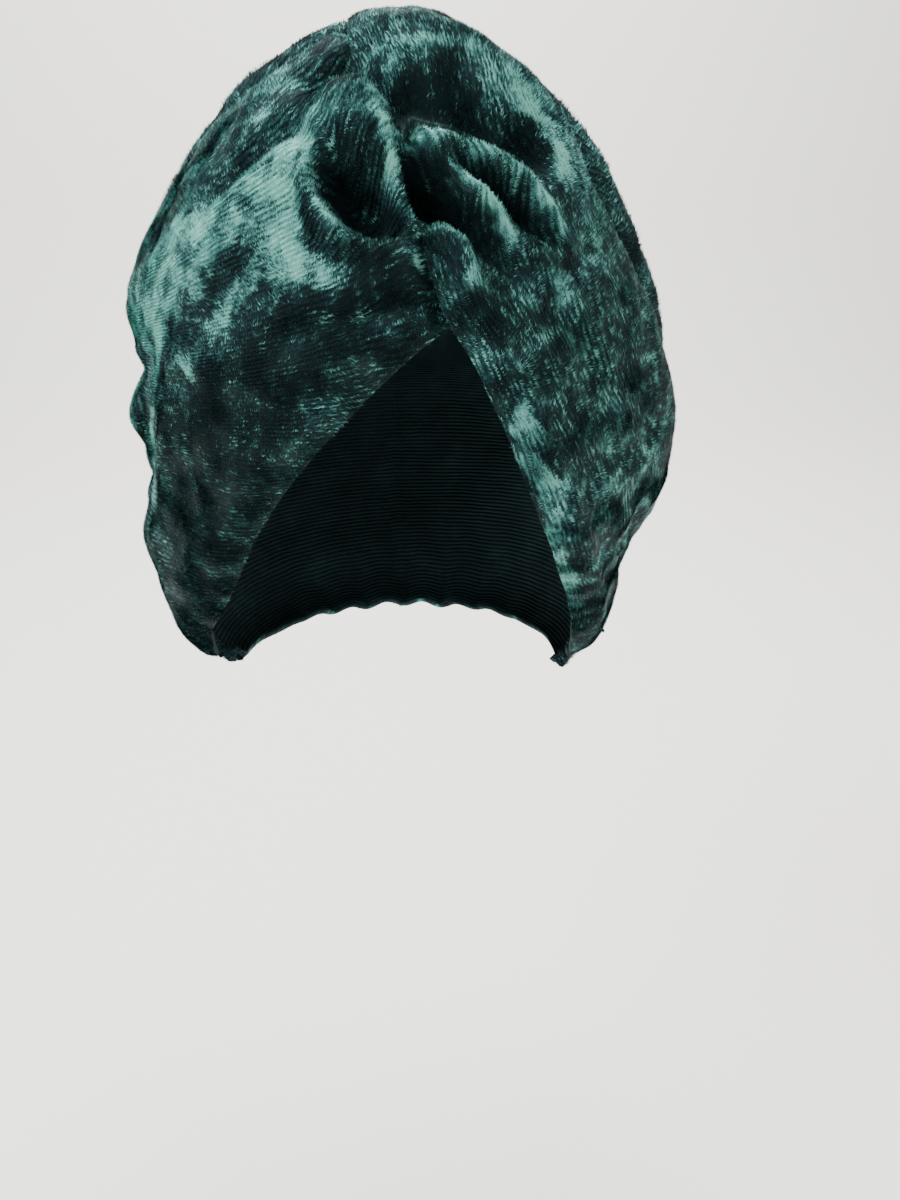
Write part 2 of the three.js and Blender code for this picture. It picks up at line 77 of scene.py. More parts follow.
edges = {
    "rightFront": [
        (-74.5, -48.5), (-64, -41), (-52.8, -33.7), (-44.6, -26.4), (-37.4, -16.7),
        (-30.5, -7.6), (-22, 2.5), (-13.5, 11.5), (-5.5, 18.5), (2, 23.5), (8.5, 27.5)],
    "leftFront": [
        (68, -57), (54, -49), (38.5, -35.5), (27.7, -23), (19.9, -9.8),
        (15.1, 0), (10.5, 10), (6.5, 17.5), (2.5, 23.5), (0.5, 27.5), (-2, 33.5)],
    "rightSeam": [
        (-28, 73.5), (-40, 67), (-56, 62), (-77, 51), (-86, 31),
        (-89, 10), (-89, -8), (-87, -26), (-83, -45)],
    "leftSeam": [
        (-28, 73.5), (-12, 80), (26, 77), (34, 68.5), (33, 61.5), (35, 54.5), (37.5, 48),
        (42, 41.5), (52.5, 31.5), (62, 20.5), (75, 4), (80, -14), (79, -32), (71.5, -49)],
    "tipBelowRight": [(-81, -54), (-82.2, -50)],
    "tipBelowLeft": [(72.5, -53.5), (75.5, -59.5)],
    "hem": [
        (-72, -51.5), (-81, -54), (-95, -56.5), (-112, -58), (-145, -59.5), (180, -60),
        (145, -60.5), (112, -61), (90, -61.5), (71, -61.5), (60, -61)],
}
# Where the front panels cross. The third number is how far the right panel runs on under
# the left one; below zero the left one runs on under the right.
crossing = [
    (2, 23.5, 13), (0.3, 28, 7), (-1.8, 33.5, 0), (-3.5, 38.6, -8), (-5.3, 44, -11),
    (-7.2, 49.5, -8), (-12.5, 54.5, 0), (-18.5, 62, 9), (-28, 73.5, 12)]

# Folds: half widths left and right of the heading, sharpness, then stations with heights
folds = {
    "right": {
        "curl": (11, 12, 0, [
            (-25, 46.5, 0), (-20.5, 48.5, 5), (-16.5, 49.5, 9), (-12, 48.8, 11), (-8.5, 46.5, 8),
            (-6.8, 43.5, 3), (-6.3, 41, 0)]),
        "curlLip": (5, 6, 0.5, [
            (-8.7, 49.6, 0), (-6.9, 46.5, 3), (-6.6, 43.5, 5), (-5.9, 40.3, 7), (-4.9, 38.4, 7),
            (-3.6, 36.6, 6), (-1.9, 35, 4), (-1.2, 33.5, 0)]),
        "pocket": (9, 12, 0, [
            (-21, 43, 0), (-17.3, 42, -9), (-13.5, 40.7, -15), (-10, 39, -15), (-7, 36.8, -9),
            (-4, 34.5, 0)]),
        "pocketRim": (5, 6, 0.5, [
            (-20.5, 46, 0), (-20.6, 43.1, 4), (-20, 40.5, 7), (-18, 37.2, 8), (-15.8, 34.9, 8),
            (-12, 33, 7), (-8, 32.1, 6), (-4.8, 31.8, 4), (-2.3, 31.7, 0)]),
        "crownValley": (7, 7, 0, [
            (-34, 57.5, 0), (-27.5, 58, -4), (-21.5, 59, -5), (-16, 57, -3), (-13, 55.5, 0)]),
        "sideValley": (9, 9, 0, [
            (-21.5, 52, 0), (-28, 49.5, -4), (-34, 46.5, -5), (-40, 42.5, -4), (-47, 37, 0)]),
        "shoulder": (16, 14, 0, [
            (-23.5, 48.5, 0), (-28.5, 44.5, 3), (-35, 39.5, 4), (-43.5, 32.5, 3), (-53.5, 24, 0)]),
        "browRidge": (7, 8, 0.2, [
            (2.5, 24, 2), (-6, 22, 4), (-12.5, 20.5, 3.5), (-21.5, 17, 2), (-31.5, 12, 0)]),
        "browValley": (6, 6, 0, [
            (1.5, 27, 0), (-5, 26, -3), (-13.5, 25, -3.5), (-23, 22, -2), (-33, 18, 0)]),
        "templeRidge": (9, 10, 0, [(-15, 13.5, 0), (-23, 7, 3), (-32, 0, 3), (-42, -8, 0)]),
        "upperSideRoll": (14, 12, 0, [(-51.5, 31.5, 0), (-66, 26, 2), (-84, 22, 2.5), (-98, 22, 0)]),
        "sideGroove": (8, 7, 0.3, [(-53, 20, 0), (-65.5, 13, -2.5), (-78, 11, -3.5), (-96, 11, -2)]),
        "lowerSideRoll": (13, 13, 0, [(-66, 4, 0), (-76, 2, 3.5), (-86, 1, 5), (-98, 1, 3)]),
        "earGroove": (7, 7, 0.3, [(-64, -9, 0), (-72, -10, -1.5), (-80, -10.5, -2.5), (-94, -11, -1.5)]),
        "flapCrease": (7, 6, 0.2, [
            (-45, 22, 0), (-49, 16, 1.5), (-53, 9, 2.2), (-57, 1, 2.2), (-61, -8, 1.5), (-64, -16, 0)]),
        "earRoll": (11, 12, 0, [(-58, -17, 0), (-70, -21, 1.5), (-84, -24, 2), (-96, -25, 1)]),
    },
    "left": {
        "topRoll": (15, 18, 0, [
            (-27, 69, 2), (-18.5, 66, 4.5), (-5, 62.5, 6), (8, 59.5, 7), (19, 55, 7), (28.5, 49, 5),
            (36, 42, 0)]),
        "topGroove": (7, 6, 0, [
            (-9, 51, 0), (-3, 51.5, -4), (4, 50.5, -5), (11, 48, -5), (18, 45, -3), (24, 41.5, 0)]),
        "firstRidge": (5.5, 6, 0.8, [
            (-7, 47, 0), (-5.5, 46.4, 5), (-3.9, 45.4, 8), (-2, 44.3, 9), (0.9, 42.6, 10),
            (3.2, 40.7, 10), (6.4, 38.6, 9), (9.1, 36.6, 7), (11.8, 33.8, 4), (14, 31, 0)]),
        "secondRidge": (5.5, 5.5, 0.8, [
            (-0.5, 44.5, 0), (1.5, 44.2, 4), (3.6, 43.6, 7), (7.1, 42.7, 9), (10.7, 41.7, 9),
            (14.5, 40.5, 8), (18.5, 38.3, 6), (22.5, 35, 4), (26, 31, 0)]),
        "thirdRidge": (5.5, 6, 0.6, [
            (-3.4, 34, 0), (-2.2, 35, 4), (0, 35.6, 7), (2.3, 34.8, 8), (4.1, 33.1, 8), (4.9, 30.5, 6),
            (4.5, 28, 3), (4, 26, 0)]),
        "firstValley": (5, 9, 0, [
            (-6.5, 44.5, 0), (-4.8, 42.8, -9), (-2.4, 41.2, -14), (0.7, 39.2, -14), (4, 36.8, -11),
            (7.4, 34.3, -7), (10.8, 31.4, -3), (13, 28.5, 0)]),
        "secondValley": (4, 5, 0, [
            (2, 42.8, 0), (4.2, 42, -4), (7.2, 40.8, -8), (10.7, 39.6, -9), (14.2, 38, -8),
            (18, 35.6, -4), (21.5, 32.5, 0)]),
        "softPleat": (5, 6, 0.4, [
            (14, 33, 0), (19, 30, 2.5), (25, 25.5, 3), (31, 19, 2), (35, 12, 0)]),
        "edgeRoll": (8, 12, 0, [
            (0.5, 33.5, 0), (3.5, 28, 3), (7.5, 21.5, 3.5), (12.5, 13, 3), (19, 1, 3), (26, -11, 3),
            (36, -25, 3), (52, -40, 2), (66, -50, 0)]),
        "cheekDent": (12, 12, 0, [(16.5, 29, 0), (22.5, 23.5, -3), (29, 16, -3), (33.5, 6, 0)]),
        "sideSwell": (24, 20, 0, [
            (36.5, 31, 0), (50, 18, 1.5), (59.5, 2, 3), (62, -14, 2.5), (62, -30, 0)]),
        "earCrease": (7, 9, 0.2, [(44, -8, 0), (54, -20, -3), (64, -31, -4), (74, -40, -2)]),
    },
    "back": {
        "leftShoulder": (15, 18, 0, [
            (40, 72, 0), (50, 62, 2), (54, 52, 3), (58, 42, 2.5), (66, 31, 2), (76, 20, 2), (88, 8, 0)]),
        "rightShoulder": (14, 16, 0, [
            (-60, 68, 0), (-80, 60, 2), (-96, 46, 3), (-104, 28, 3), (-106, 10, 0)]),
        "rightSideRoll": (14, 14, 0, [(-90, 3, 4), (-102, 2, 5), (-116, 0, 4), (-134, -3, 0)]),
        "leftSideRoll": (16, 14, 0, [(76, -2, 4), (92, -4, 6), (108, -6, 4), (128, -8, 0)]),
        "centreSeam": (4, 4, 0.7, [
            (180, 76, 0), (180, 60, -1.8), (180, 30, -2), (180, 0, -2), (180, -30, -2), (180, -52, -1.5)]),
    },
}
napeGathers = {"count": 8, "height": 2.0, "from": 118.0, "to": 242.0, "reach": 50.0}
# A crisp fold's crest: how round it is and how it flares, and the slack when points near it are chosen
crest = {"roundness": 0.01, "flare": 0.1, "slack": 0.02}


def ease(x):
    x = np.clip(x, 0, 1)
    return x * x * (3 - 2 * x)


def mix(a, b, amount):
    return a + (b - a) * amount


def through(a, b, c, d, t):
    # from b to c on a smooth curve through all four
    bend = 2 * a - 5 * b + 4 * c - d
    return b + 0.5 * t * (c - a + t * (bend + t * (3 * (b - c) + d - a)))


def direction(azimuth, elevation):
    azimuth, elevation = np.radians(azimuth), np.radians(elevation)
    level = np.cos(elevation)
    return np.stack([np.sin(azimuth) * level, -np.cos(azimuth) * level, np.sin(elevation)], -1)


def unit(points):
    return points / np.linalg.norm(points, axis=-1, keepdims=True)


def measured(points, carried=None):
    steps = np.linalg.norm(np.diff(points, axis=0), axis=1) * form["arcRadius"]
    lengths = np.concatenate([[0], np.cumsum(steps)])
    carried = np.zeros(len(points)) if carried is None else carried
    return {"points": points, "carried": carried, "lengths": lengths, "total": lengths[-1]}


def smoothLine(stations, easing=ease, steps=8):
    # through the stations, on the unit sphere, carrying their third number
    table = np.array([(s + (0,))[:3] for s in stations], float)
    knots = direction(table[:, 0], table[:, 1])
    knots = np.vstack([2 * knots[0] - knots[1], knots, 2 * knots[-1] - knots[-2]])
    points, carried = [], []
    for span in range(len(table) - 1):
        a, b, c, d = knots[span:span + 4]
        last = span == len(table) - 2
        for t in np.arange(steps + last) / steps:
            points.append(through(a, b, c, d, t))
            carried.append(mix(table[span, 2], table[span + 1, 2], easing(t)))
    line = measured(unit(np.array(points)), np.array(carried))
    line["steps"] = steps
    return line


def pointAt(line, place):
    target = np.clip(place, 0, 1) * line["total"]
    point = np.stack([np.interp(target, line["lengths"], line["points"][:, k]) for k in range(3)], -1)
    return unit(point)


def headingAt(line, place):
    step = 0.002
    return unit(pointAt(line, np.minimum(place + step, 1)) - pointAt(line, np.maximum(place - step, 0)))


def placeOf(line, station):
    return line["lengths"][station * line["steps"]] / line["total"]


def nearLine(line, dirs):
    # signed distance (left of the heading is positive), carried value, length along the line
    start = line["points"][:-1]
    chord = line["points"][1:] - start
    square = (chord ** 2).sum(1)
    reach = dirs @ chord.T - (start * chord).sum(1)
    part = np.clip(reach / square, 0, 1)
    apart = (dirs ** 2).sum(1)[:, None] - 2 * dirs @ start.T + (start ** 2).sum(1)
    apart += part * (part * square - 2 * reach)
    nearest = apart.argmin(1)
    part = part[np.arange(len(dirs)), nearest]
    miss = dirs - start[nearest] - part[:, None] * chord[nearest]
    side = np.where((np.cross(chord[nearest], miss) * dirs).sum(1) < 0, -1, 1)
    distance = np.linalg.norm(miss, axis=1) * form["arcRadius"] * side
    value = mix(line["carried"][nearest], line["carried"][nearest + 1], part)
    along = mix(line["lengths"][nearest], line["lengths"][nearest + 1], part)
    return distance, value, along


def sectionRadius(elevation, side):
    # smooth through the table of level sections
    table = np.array(form[side], float)
    last = len(table) - 1
    lowest, second = form["elevation"][:2]
    place = np.clip((elevation - lowest) / (second - lowest), 0, last)
    i = np.minimum(place.astype(int), last - 1)
    return through(*(table[np.clip(i + k, 0, last)] for k in (-1, 0, 1, 2)), place - i)


def formRadius(dirs):
    elevation = np.degrees(np.arcsin(np.clip(dirs[:, 2], -1, 1)))
    level = np.maximum(np.hypot(dirs[:, 0], dirs[:, 1]), 1e-9)
    depth = np.where(dirs[:, 1] < 0, sectionRadius(elevation, "front"), sectionRadius(elevation, "back"))
    width = np.where(dirs[:, 0] < 0, sectionRadius(elevation, "right"), sectionRadius(elevation, "left"))
    return 1 / np.hypot(dirs[:, 1] / level / depth, dirs[:, 0] / level / width)


def foldHeight(group, dirs):
    height = np.zeros(len(dirs))
    for left, right, sharp, stations in folds[group].values():
        line = smoothLine(stations)
        middle = unit(line["points"].mean(0))
        spread = (line["points"] @ middle).min()
        reach = math.acos(spread) + max(left, right) / form["arcRadius"] + crest["slack"]
        close = np.nonzero(dirs @ middle > math.cos(reach))[0]
        if len(close) == 0:
            continue
        distance, value, _ = nearLine(line, dirs[close])
        x = np.clip(np.abs(distance) / np.where(distance > 0, left, right), 0, 1)
        soft = (1 - x * x) ** 2
        slope = 1 - np.sqrt(x * x + crest["roundness"]) + crest["flare"] * x
        crisp = np.where(x < 1, slope ** 2, 0)
        height[close] += value * mix(soft, crisp, sharp)
    return height


def turnDip(turn, inside):
    dip, width = turns[turn]
    return dip * (1 - np.clip(inside / width, 0, 1)) ** 2


def edgeDip(turn, line, dirs, side, twistAtEnd):
    distance, _, along = nearLine(line, dirs)
    fromTwist = line["total"] - along if twistAtEnd else along
    return turnDip(turn, side * distance) * ease(fromTwist / turns[turn][1])


crossLine = smoothLine(crossing, easing=lambda t: t)
lines = {
    name: smoothLine(edges[name])
    for name in ("rightFront", "leftFront", "rightSeam", "leftSeam", "hem")}
lines["seam"] = smoothLine(
    edges["tipBelowRight"] + edges["rightSeam"][::-1] + edges["leftSeam"][1:] + edges["tipBelowLeft"])


def rightUnder(tuck):
    return ease(0.5 + tuck / lay["turnOver"] / 2)


def rightOwn(dirs, cross):
    distance, tuck, _ = cross
    return (formRadius(dirs) + foldHeight("right", dirs)
            - edgeDip("front", lines["rightFront"], dirs, 1, True)
            - edgeDip("seam", lines["rightSeam"], dirs, 1, False)
            - turnDip("twist", distance) * (1 - rightUnder(tuck)))


def leftOwn(dirs, cross):
    distance, tuck, along = cross
    aboveTwist = ease((along / crossLine["total"] - lay["lobeFrom"]) / lay["lobeOver"])
    return (formRadius(dirs) + foldHeight("left", dirs)
            - edgeDip("front", lines["leftFront"], dirs, -1, True)
            - edgeDip("seam", lines["leftSeam"], dirs, -1, False)
            - turnDip("lobe", -distance) * rightUnder(tuck) * aboveTwist)


def laidUnder(own, over, inside, amount):
    deep = (inside + lay["underEnd"]) / lay["underIn"]
    sink = lay["gap"] + lay["tuckSink"] * ease(deep)
    return mix(own, np.minimum(own, over - sink), ease(1 + deep) * amount)


def bothRadii(dirs):
    cross = nearLine(crossLine, dirs)
    right, left = rightOwn(dirs, cross), leftOwn(dirs, cross)
    under = rightUnder(cross[1])
    return (laidUnder(right, left, -cross[0], under), laidUnder(left, right, cross[0], 1 - under), cross)


def napeHeight(dirs, rim):
    azimuth = np.degrees(np.arctan2(dirs[:, 0], -dirs[:, 1])) % 360
    across = (azimuth - napeGathers["from"]) / (napeGathers["to"] - napeGathers["from"])
    fade = (1 - np.clip(rim / napeGathers["reach"], 0, 1)) ** 2
    wave = np.cos(across * napeGathers["count"] * 2 * math.pi)
    return napeGathers["height"] * wave * fade * np.sin(np.clip(across, 0, 1) * math.pi)


def backRadius(dirs):
    seam, _, _ = nearLine(lines["seam"], dirs)
    right, left, cross = bothRadii(dirs)
    onRight = ease(0.5 + cross[0] / lay["easeIn"] / 2)
    overTuck = ease((lay["seamTuck"] + lay["easeIn"] * 2 + cross[0]) / lay["easeIn"]) * rightUnder(cross[1])
    over = mix(left - overTuck * (lay["gap"] + lay["tuckSink"]), right, onRight)
    sink = (lay["gap"] + lay["crownSink"] * (1 - ease(np.abs(cross[0]) / lay["easeIn"] / 4))
            + lay["backSink"] * ease((lay["easeEnd"] - seam) / (2 * lay["easeIn"])))
    rim = -nearLine(lines["hem"], dirs)[0]
    own = formRadius(dirs) + foldHeight("back", dirs) + napeHeight(dirs, rim) - turnDip("hem", rim)
    return mix(over - sink, own, ease((seam - lay["easeEnd"]) / (lay["easeOut"] * lay["easeIn"])))


def shifted(line, place, amount):
    # a point of the line moved sideways, towards the right of its heading
    point = pointAt(line, place)
    sideways = unit(np.cross(headingAt(line, place), point))
    angle = np.asarray(amount / form["arcRadius"])[..., None]
    return point * np.cos(angle) + sideways * np.sin(angle)


def crossingEdge(place, side):
    target = np.clip(place, 0, 1) * crossLine["total"]
    tuck = np.interp(target, crossLine["lengths"], crossLine["carried"])
    return shifted(crossLine, place, side * (np.maximum(0, side * tuck - lay["turnOver"]) - lay["edgeGap"]))


def patch(near, far, start, end, u, v):
    # cloth stretched between four lines of directions
    u1, v1 = u[:, None], v[:, None]
    zero, one = np.zeros(1), np.ones(1)
    point = near(u) * (1 - v1) + far(u) * v1 + start(v) * (1 - u1) + end(v) * u1
    point -= near(zero) * (1 - u1) * (1 - v1) + near(one) * u1 * (1 - v1)
    point -= far(zero) * (1 - u1) * v1 + far(one) * u1 * v1
    return unit(point)


def between(low, high):
    return lambda place: unit(mix(low, high, place[:, None]))


# Where a panel's edges turn into each other, in shares of their length, and the left edge's steps
panelEnds = {"crownFrom": 0.85, "crownOver": 0.15, "peakOver": 0.08, "steps": 49}


def rightDirections(u, v):
    one = np.ones(1)

    def near(t):
        return pointAt(lines["rightFront"], t)

    def far(t):
        turned = ease((t - panelEnds["crownFrom"]) / panelEnds["crownOver"])[:, None]
        return unit(mix(pointAt(lines["rightSeam"], 1 - t), crossingEdge(one, 1), turned))

    def end(t):
        return unit(mix(crossingEdge(t, 1), near(one), 1 - ease(t / panelEnds["peakOver"])[:, None]))

    return patch(near, far, between(near(0 * one), far(0 * one)), end, u, v)


def leftDirections(u, v):
    switch = placeOf(crossLine, 2)
    crownPlace = placeOf(lines["leftSeam"], 2)
    part = np.linspace(0, 1, panelEnds["steps"])
    edge = measured(np.vstack([
        crossingEdge(mix(1, switch, part[:-1]), -1), pointAt(lines["leftFront"], 1 - part)]))

    def near(t):
        return pointAt(edge, t)

    def far(t):
        return pointAt(lines["leftSeam"], mix(crownPlace, 1, t))

    def start(t):
        return pointAt(lines["leftSeam"], t * crownPlace)

    one = np.ones(1)
    return patch(near, far, start, between(near(one), far(one)), u, v)


backCentre, backUp = direction(180, 10), direction(180, 100)


def laidFlat(dirs):
    # the sphere laid flat round the back of the head, so that the cap can be ruled evenly
    bearing = unit(np.stack([dirs[:, 0], dirs @ backUp], -1))
    return bearing * np.arccos(np.clip(dirs @ backCentre, -1, 1))[:, None]


def fromFlat(places):
    apart = np.linalg.norm(places, axis=1, keepdims=True)
    bearing = places / np.maximum(apart, 1e-9)
    sideways = bearing[:, :1] * np.array([1, 0, 0]) + bearing[:, 1:] * backUp
    return backCentre * np.cos(apart) + sideways * np.sin(apart)


# The cap's ruling, in shares of its length and depth: the edge tucked under the panels, how far the hem
# stands in at both ends, how narrow the tuck gets at the corners, and the crowding of rows at the seam
capRuling = {
    "tucked": 2 / 22, "insets": (0.06, 0.075), "cornerTuck": 0.2, "cornerOver": 0.12, "crowding": 1.15}


def backDirections(u, v):
    tucked, insets = capRuling["tucked"], capRuling["insets"]
    seam = pointAt(lines["seam"], u)
    hem = pointAt(lines["hem"], mix(insets[0], 1 - insets[1], u))
    atCorner = ease(capRuling["cornerTuck"] + np.minimum(u, 1 - u) / capRuling["cornerOver"])
    tuckWidth = lay["seamTuck"] * atCorner
    under = shifted(lines["seam"], u, tuckWidth * (1 - v / tucked))
    free = np.clip((v - tucked) / (1 - tucked), 0, 1)[:, None] ** capRuling["crowding"]
    shown = fromFlat(mix(laidFlat(seam), laidFlat(hem), free))
    return np.where((v < tucked)[:, None], under, shown)


def rightRadius(dirs):
    return bothRadii(dirs)[0]


def leftRadius(dirs):
    return bothRadii(dirs)[1]


# Small unevenness of the cloth: size of the bumps and their height, in millimetres
crumple = {"large": (15.0, 0.9), "small": (6.0, 0.45)}

# Painted highlights and painted shade, laid on as brightness along lines: bright on crests and where the
# pile faces the light, dark in the pocket, valleys and creases: half width, brightness, stations
paintedLightAndCrush = {
    "rightPanel": {
        "curlArcHighlight": (1.5, 0.3, [
            (-20.3, 49.1), (-18.7, 51.3), (-15.7, 52.6), (-11.6, 51.6), (-8.7, 49.6), (-7.4, 47),
            (-6.9, 44.4), (-6.5, 42)]),
        "curlBodySheen": (4.5, 0.34, [(-17, 47.5), (-12.5, 47), (-9, 46)]),
        "curlShade": (2.6, -0.3, [(-19, 49.5), (-16.5, 50.6), (-13.5, 50.6)]),
        "lipCrest": (1.4, 0.55, [
            (-6.7, 42.1), (-5.9, 40.3), (-5, 38.4), (-3.7, 36.6), (-2.1, 35), (-1.3, 33.7)]),
        "rimCrest": (1.7, 0.5, [
            (-20.4, 43.1), (-20.2, 41.3), (-19.4, 39.4), (-17.8, 37.2), (-15.8, 34.9), (-13.3, 33.4),
            (-10.8, 32.7), (-8, 32.1), (-4.8, 31.8), (-2.6, 31.7)]),
        "rimOutsideShade": (1.5, -0.35, [(-22, 43.5), (-21.9, 40), (-20.3, 37), (-18.6, 35)]),
        "besidePocketHighlight": (4.2, 0.62, [
            (-23.5, 47.5), (-25.8, 42.5), (-26, 38), (-25, 34.5), (-22, 31.8), (-18, 30.3)]),
        "brightSide": (11, 0.4, [(-29, 42), (-38, 36), (-49, 29), (-58, 22)]),
        "lowerSheenStreaks": (5, 0.4, [(-26, 31), (-31, 27), (-37, 22), (-45, 16)]),
        "sideGlow": (14, 0.32, [(-52, 34), (-64, 25), (-72, 14), (-76, 2)]),
        "upperSheen": (12, 0.16, [(-42, 54), (-58, 47), (-74, 36)]),
        "pocketShade": (5.5, -0.5, [(-17.5, 42), (-14, 40.5), (-11, 38.8), (-7.5, 36)]),
        "browShade": (13, -0.3, [(-6, 27), (-20, 22), (-34, 12), (-46, 2)]),
        "flapShade": (18, -0.2, [(-30, 2), (-46, -12), (-62, -28), (-74, -44)]),
        "flapHighlight": (2.4, 0.55, [(-46.5, 7), (-47.5, 1), (-46.5, -5)]),
        "creaseShade": (6, -0.22, [(-40, 14), (-45, 6), (-50, -5), (-55, -16)]),
        "creaseGlow": (4.5, 0.34, [(-54, 20), (-58, 11), (-63, 1), (-68, -9), (-73, -20)]),
    },
    "leftPanel": {
        "lobeBandHighlight": (3.4, 0.36, [
            (-11, 57.5), (-6.7, 58.5), (-1.3, 58.2), (5, 57.2), (10, 55.5), (14.5, 53), (19.5, 49.5),
            (26, 44)]),
        "pleatCrest": (1.4, 0.4, [(-12.3, 52.6), (-10, 53.4), (-7.8, 54.5), (-6.7, 56.5)]),
        "firstCrest": (1.7, 0.75, [
            (-5.9, 46.6), (-3.9, 45.4), (-2, 44.3), (0.9, 42.6), (3.2, 40.7), (6.4, 38.6), (9.1, 36.6),
            (11.8, 33.8)]),
        "secondCrest": (1.7, 0.68, [
            (0.1, 44.2), (3.6, 43.6), (7.1, 42.7), (10.7, 41.7), (14.5, 40.5), (18.5, 38.3), (22, 35.5)]),
        "thirdCrest": (1.6, 0.5, [(-2.2, 35), (0, 35.6), (2.3, 34.8), (4.1, 33.1), (4.9, 30.5), (4.6, 28)]),
        "firstShade": (4.5, -0.5, [(-5, 43.5), (-2.4, 41.5), (1, 39.2), (4.5, 36.6), (8, 34)]),
        "secondShade": (2.6, -0.45, [(3.5, 42.3), (7.2, 41), (11, 39.7), (15, 37.8)]),
        "grooveShade": (7, -0.36, [(-7, 51.5), (-1, 51.5), (6, 50), (12, 47.5), (18, 44)]),
        "pleatCrest2": (3, 0.3, [(15, 32.5), (20, 29.5), (26, 25)]),
        "rightLobeSheen": (9, 0.22, [(22, 52), (30, 44), (38, 33)]),
        "edgeGlow": (4, 0.5, [(13, 10), (17, 0), (22, -11), (28, -22), (34, -31)]),
        "cheekGlow": (9, 0.2, [(30, 5), (38, -10), (46, -22)]),
        "sideShade": (14, -0.15, [(56, 24), (66, 4), (70, -18)]),
    },
    "crownCap": {
        "crownGlow": (14, 0.12, [(-60, 70), (-90, 62), (-130, 60)]),
        "seamShade": (5, -0.2, [(180, 70), (180, 30), (180, -40)]),
    },
}
# Wandering of the borders of the painted highlights and shade, then crushed patches: size and amount, in
# millimetres
crushed = {
    "wander": (9.0, 3.5), "fray": (3.2, 1.6), "patches": (6.5, 0.26), "small": (3.0, 0.2),
    "wanderStart": 7, "patchStart": 3, "contrast": 2.2, "seed": 11}
# Painted highlight and shade lines narrower than fineBelow keep to their crests, and broad patches are
# partly soft, partly crisp
borders = {"fineBelow": 3, "soft": 0.45, "crisp": 0.34, "from": 0.24, "over": 0.12}


def noiseAt(places):
    return np.array([noise.noise(Vector(place)) for place in places])


def paintedLightAt(name, dirs, moved):
    # painted highlight and shade: the lines along crests stay on their folds, the broad ones wander and
    # have crisp borders
    fine, broad, shade = np.zeros((3, len(dirs)))
    for width, strength, stations in paintedLightAndCrush[name].values():
        isFine = width < borders["fineBelow"]
        distance, _, _ = nearLine(smoothLine(stations), dirs if isFine else moved)
        amount = strength * np.exp(-(distance / width) ** 2)
        if isFine:
            fine += amount
        elif strength > 0:
            broad += amount
        else:
            shade += amount
    crisp = ease((broad - borders["from"]) / borders["over"])
    return fine + shade + borders["soft"] * broad + borders["crisp"] * crisp


# Painted highlights and shade with wandering borders, plus crushed patches of tone that differ at random
def crushWithPaintedLight(name, dirs):
    noise.seed_set(crushed["seed"])     # otherwise noise_vector takes its seed from the clock
    moved = dirs.copy()
    for size, amount in (crushed["wander"], crushed["fray"]):
        places = dirs * (form["arcRadius"] / size) + crushed["wanderStart"]
        drift = np.array([noise.noise_vector(Vector(place)) for place in places])
        moved += drift * amount / form["arcRadius"]
    total = paintedLightAt(name, dirs, unit(moved))
    for size, amount in (crushed["patches"], crushed["small"]):
        places = moved * (form["arcRadius"] / size) + crushed["patchStart"]
        total += amount * np.tanh(crushed["contrast"] * noiseAt(places))
    return total


def crumpleAt(dirs):
    height = np.zeros(len(dirs))
    for size, rise in crumple.values():
        height += rise * noiseAt(dirs * (form["arcRadius"] / size))
    return height


pieces = {
    "rightPanel": {
        "replaces": "right_panel", "columns": 170, "rows": 150, "crowding": 0.45,
        "directions": rightDirections, "radius": rightRadius, "flat": (0.19, 0.13), "held": "folded",
        "tuft": (0.00095, 0.0002), "grain": "level"},
    "leftPanel": {
        "replaces": "left_panel", "columns": 210, "rows": 120, "crowding": -0.55,
        "directions": leftDirections, "radius": leftRadius, "flat": (0.24, 0.1), "held": "gathered",
        "tuft": (0.00095, 0.0002), "grain": "edge"},
    "crownCap": {
        "replaces": "crown_cap", "columns": 180, "rows": 130, "crowding": 0.0,
        "directions": backDirections, "radius": backRadius, "flat": (0.4, 0.26), "held": "gathered",
        "tuft": (0.0014, 0.00034), "grain": "level"},
}


# How level rows climb to the crown: rise over run, from which elevation and over how much, in radians
courseClimb = {"slope": 0.75, "from": -0.2, "over": 1.2}


def courseCoordinates(spec, dirs, u, v):
    # metres along and across the knit's rows, which run beside the front edge or else level
    if spec["grain"] == "edge":
        return np.stack([u, v], -1) * spec["flat"]
    elevation = np.arcsin(dirs[:, 2])
    along = np.abs(np.arctan2(dirs[:, 0], -dirs[:, 1])) * np.cos(elevation)
    climb = courseClimb["slope"] * ease((elevation - courseClimb["from"]) / courseClimb["over"])
    return np.stack([along, elevation + climb * along], -1) * form["arcRadius"] / 1000


def meshFrom(bm, name):
    mesh = bpy.data.meshes.new(name)
    bm.to_mesh(mesh)
    bm.free()
    return mesh


def addObject(name, data):
    made = bpy.data.objects.new(name, data)
    bpy.context.scene.collection.objects.link(made)
    return made


def readValues(items, name, width, kind=float):
    values = np.empty(len(items) * width, kind)
    items.foreach_get(name, values)
    return values.reshape(-1, width)


def layValues(mesh, name, values):
    mesh.attributes.new(name, "FLOAT", "POINT").data.foreach_set("value", values)


